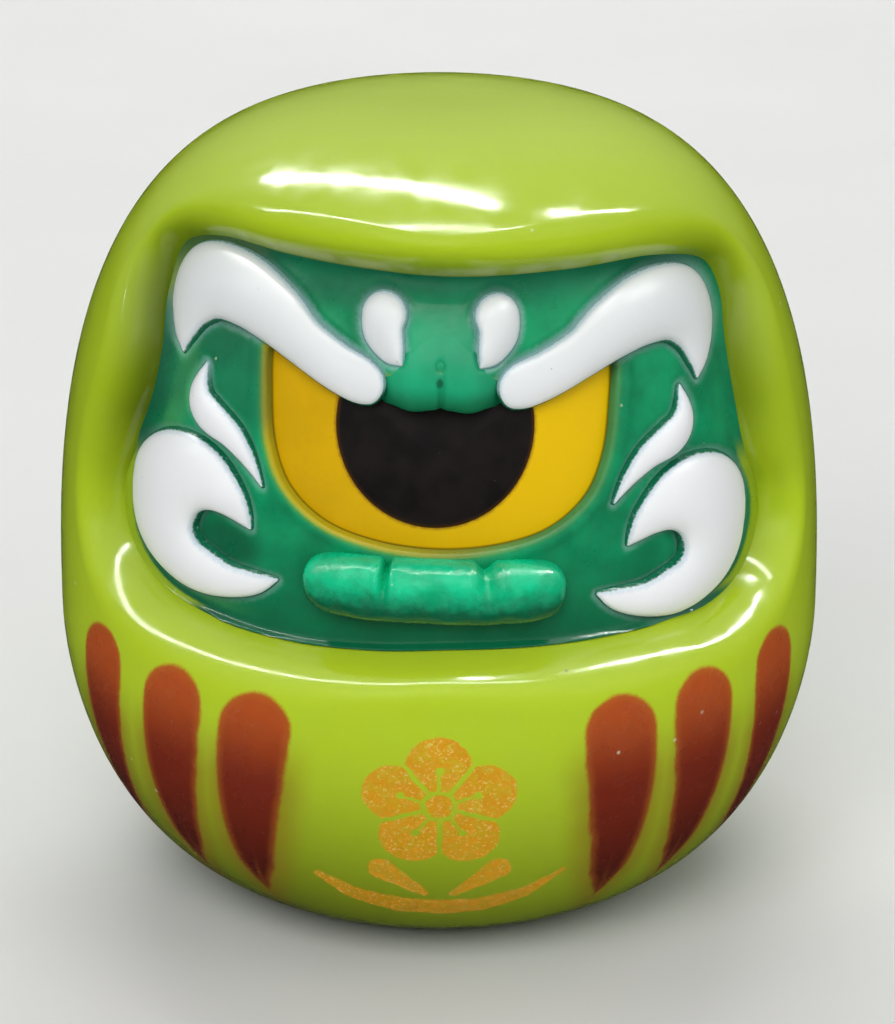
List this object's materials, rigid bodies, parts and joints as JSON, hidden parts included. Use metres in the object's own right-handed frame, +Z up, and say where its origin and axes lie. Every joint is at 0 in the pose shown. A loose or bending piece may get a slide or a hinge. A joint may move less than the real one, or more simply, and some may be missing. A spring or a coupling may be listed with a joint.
{
  "type": "daruma doll",
  "caption": "Round weighted daruma doll in soft vinyl: a hooded shell round a sunken face with raised brows, cheek swirls, a mouth bar and a domed eye insert, on a flat sole.",
  "frame": {"origin": "middle of the flat sole, on the surface that the doll stands on", "axes": "+Z up through the crown, the face looks along -Y, +X to the viewer's right"},
  "size_m": [0.0659, 0.066, 0.069],
  "materials": {
    "lime_vinyl": "glossy, slightly translucent soft vinyl in lime green",
    "plug_vinyl": "satin soft vinyl in lime green",
    "ballast_steel": "turned steel disc with a light tarnish",
    "face_green": "semi-gloss emerald spray paint on vinyl",
    "mouth_green": "semi-gloss bright green spray paint on vinyl",
    "mark_white": "satin white spray paint with a feathered green edge",
    "iris_yellow": "satin golden yellow paint",
    "pupil_black": "satin black paint with a brown edge"
  },
  "bodies": {
    "root": {"body_shell": "lime_vinyl", "base_plug": "plug_vinyl", "ballast_weight": "ballast_steel", "face_plate": "face_green", "nose_bridge": "face_green", "mouth_bar": "mouth_green", "brow_left": "mark_white", "brow_right": "mark_white", "forehead_drop_left": "mark_white", "forehead_drop_right": "mark_white", "cheek_flame_left": "mark_white", "cheek_flame_right": "mark_white", "cheek_swirl_left": "mark_white", "cheek_swirl_right": "mark_white", "eye_iris": "iris_yellow", "eye_pupil": "pupil_black"}
  },
  "joints": []
}
